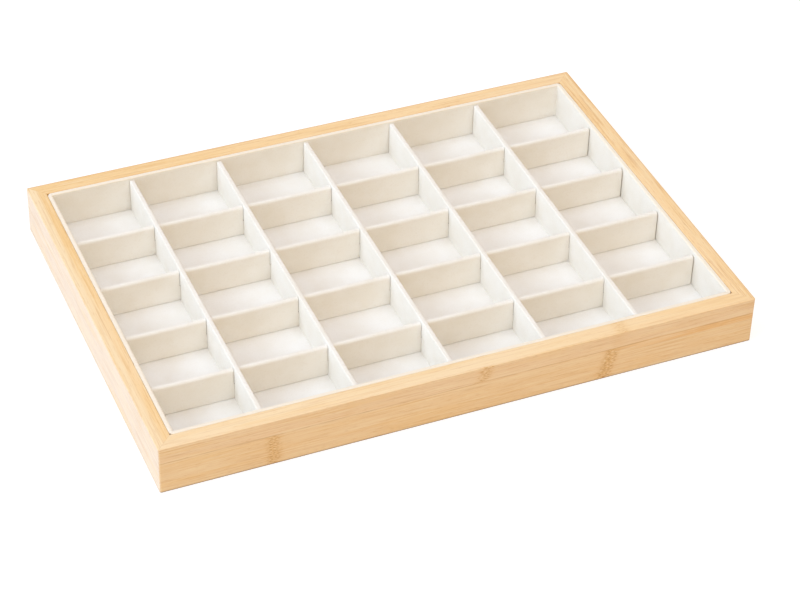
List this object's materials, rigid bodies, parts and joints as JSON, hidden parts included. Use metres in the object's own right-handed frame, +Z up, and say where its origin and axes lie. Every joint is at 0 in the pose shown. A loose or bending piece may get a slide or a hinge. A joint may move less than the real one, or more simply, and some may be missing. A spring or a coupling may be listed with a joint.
{
  "type": "jewelry display tray",
  "caption": "Flat rectangular bamboo tray with a lift-out cloth-lined insert and a lattice of slotted dividers that makes open cells for small jewelry.",
  "frame": {"origin": "middle of the tray's underside, on the surface it rests on", "axes": "+X to the right along the long side, -Y towards the front, +Z up out of the cells"},
  "size_m": [0.35, 0.245, 0.03],
  "materials": {
    "bamboo": "clear matte lacquered bamboo with fine straight grain",
    "panel_wood": "sanded plain panel",
    "nail_steel": "bare steel strip",
    "grey_board": "raw grey board",
    "cream_cloth": "matte cream-white brushed cloth"
  },
  "bodies": {
    "frame": {"rail_front": "bamboo", "rail_back": "bamboo", "rail_left": "bamboo", "rail_right": "bamboo", "base_panel": "panel_wood", "corner_v_nails": "nail_steel"},
    "insert": {"insert_base_board": "grey_board", "insert_floor_cloth": "cream_cloth", "insert_wall_board_front": "grey_board", "insert_wall_board_back": "grey_board", "insert_wall_board_left": "grey_board", "insert_wall_board_right": "grey_board", "insert_wall_cloth_front": "cream_cloth", "insert_wall_cloth_back": "cream_cloth", "insert_wall_cloth_left": "cream_cloth", "insert_wall_cloth_right": "cream_cloth"},
    "lattice": {"cross_divider_board_1": "grey_board", "cross_divider_board_2": "grey_board", "cross_divider_board_3": "grey_board", "cross_divider_board_4": "grey_board", "cross_divider_cloth_1": "cream_cloth", "cross_divider_cloth_2": "cream_cloth", "cross_divider_cloth_3": "cream_cloth", "cross_divider_cloth_4": "cream_cloth"},
    "long_divider_1": {"long_divider_board_1": "grey_board", "long_divider_cloth_1": "cream_cloth"},
    "long_divider_2": {"long_divider_board_2": "grey_board", "long_divider_cloth_2": "cream_cloth"},
    "long_divider_3": {"long_divider_board_3": "grey_board", "long_divider_cloth_3": "cream_cloth"},
    "long_divider_4": {"long_divider_board_4": "grey_board", "long_divider_cloth_4": "cream_cloth"},
    "long_divider_5": {"long_divider_board_5": "grey_board", "long_divider_cloth_5": "cream_cloth"}
  },
  "joints": [
    {"name": "insert_lift", "type": "slide", "parent": "frame", "child": "insert", "axis": [0, 0, 1], "range_m": [0, 0.03]},
    {"name": "lattice_lift", "type": "slide", "parent": "insert", "child": "lattice", "axis": [0, 0, 1], "range_m": [0, 0.024]},
    {"name": "long_divider_1_lift", "type": "slide", "parent": "lattice", "child": "long_divider_1", "axis": [0, 0, 1], "range_m": [0, 0.02]},
    {"name": "long_divider_2_lift", "type": "slide", "parent": "lattice", "child": "long_divider_2", "axis": [0, 0, 1], "range_m": [0, 0.02]},
    {"name": "long_divider_3_lift", "type": "slide", "parent": "lattice", "child": "long_divider_3", "axis": [0, 0, 1], "range_m": [0, 0.02]},
    {"name": "long_divider_4_lift", "type": "slide", "parent": "lattice", "child": "long_divider_4", "axis": [0, 0, 1], "range_m": [0, 0.02]},
    {"name": "long_divider_5_lift", "type": "slide", "parent": "lattice", "child": "long_divider_5", "axis": [0, 0, 1], "range_m": [0, 0.02]}
  ]
}
